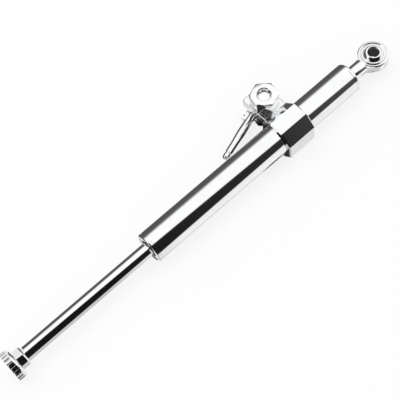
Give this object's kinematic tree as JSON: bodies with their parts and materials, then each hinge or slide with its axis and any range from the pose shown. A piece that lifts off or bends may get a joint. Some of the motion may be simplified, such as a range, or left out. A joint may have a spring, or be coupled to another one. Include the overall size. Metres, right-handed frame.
{
  "type": "motorcycle steering damper",
  "caption": "Through-rod steering damper: polished tube on a rod with an eye at one end and a fluted adjuster knob at the other, held by a clamp with a pivot ear.",
  "frame": {"origin": "centre of the rod end's ball", "axes": "+X along the damper from the adjuster knob to the rod end, +Y from the tube towards the clamp's ear, +Z along the rod end's bore, up from the flat that the clamp rests on"},
  "size_m": [0.3351, 0.0515, 0.0272],
  "materials": {
    "polished_aluminium": "polished bright",
    "hard_chrome": "mirror polished",
    "chrome_plate": "bright plated",
    "plated_steel": "bright zinc plated, fine turned lines",
    "ground_steel": "ground and polished",
    "spring_steel": "oiled",
    "bronze": "sintered, dull",
    "seal_rubber": "matt black nitrile",
    "bearing_plastic": "filled sliding plastic"
  },
  "bodies": {
    "tube": {"body_tube": "polished_aluminium", "lower_end_cap": "polished_aluminium", "upper_end_cap": "polished_aluminium", "lower_rod_wiper": "seal_rubber", "upper_rod_wiper": "seal_rubber", "lower_seal_head": "polished_aluminium", "upper_seal_head": "polished_aluminium", "lower_guide_bush": "bronze", "upper_guide_bush": "bronze", "lower_rod_seal": "seal_rubber", "upper_rod_seal": "seal_rubber", "head_o_rings": "seal_rubber", "head_retaining_rings": "spring_steel", "stop_sleeve": "plated_steel"},
    "rod": {"piston_rod": "hard_chrome", "piston": "polished_aluminium", "piston_ring": "bearing_plastic", "piston_clips": "spring_steel", "rod_end_housing": "chrome_plate", "rod_end_liner": "plated_steel", "adjuster_gland": "chrome_plate", "knob_clip": "spring_steel"},
    "eye_ball": {"rod_end_ball": "ground_steel"},
    "knob": {"adjuster_knob": "chrome_plate", "knob_cap": "chrome_plate", "detent_balls": "ground_steel", "detent_springs": "spring_steel"},
    "needle": {"needle": "ground_steel", "needle_o_ring": "seal_rubber"},
    "clamp": {"clamp_collar": "polished_aluminium", "clamp_grub_screws": "spring_steel", "upper_pivot_bush": "plated_steel", "lower_pivot_bush": "plated_steel"},
    "pivot": {"pivot_bolt": "plated_steel", "pivot_nut": "chrome_plate", "stay_arm": "chrome_plate"}
  },
  "joints": [
    {"name": "rod_stroke", "type": "slide", "parent": "tube", "child": "rod", "axis": [1, 0, 0], "range_m": [0, 0.1]},
    {"name": "eye_tilt", "type": "hinge", "parent": "rod", "child": "eye_ball", "pos_m": [0, 0, 0], "axis": [1, 0, 0], "range_deg": [-12, 12]},
    {"name": "knob_turn", "type": "hinge", "parent": "rod", "child": "knob", "pos_m": [-0.321, 0, 0], "axis": [1, 0, 0], "range_deg": [0, 720]},
    {"name": "needle_feed", "type": "slide", "parent": "knob", "child": "needle", "axis": [1, 0, 0], "range_m": [0, 0.001]},
    {"name": "clamp_slide", "type": "slide", "parent": "tube", "child": "clamp", "axis": [1, 0, 0], "range_m": [-0.11, 0.045]},
    {"name": "pivot_swing", "type": "hinge", "parent": "clamp", "child": "pivot", "pos_m": [-0.0804, 0.02539, 0], "axis": [0, 0, -1], "range_deg": [-3, 100]}
  ],
  "couplings": [
    {"joint": "needle_feed", "follows": "knob_turn", "m_per_rad": 0.000079577}
  ]
}
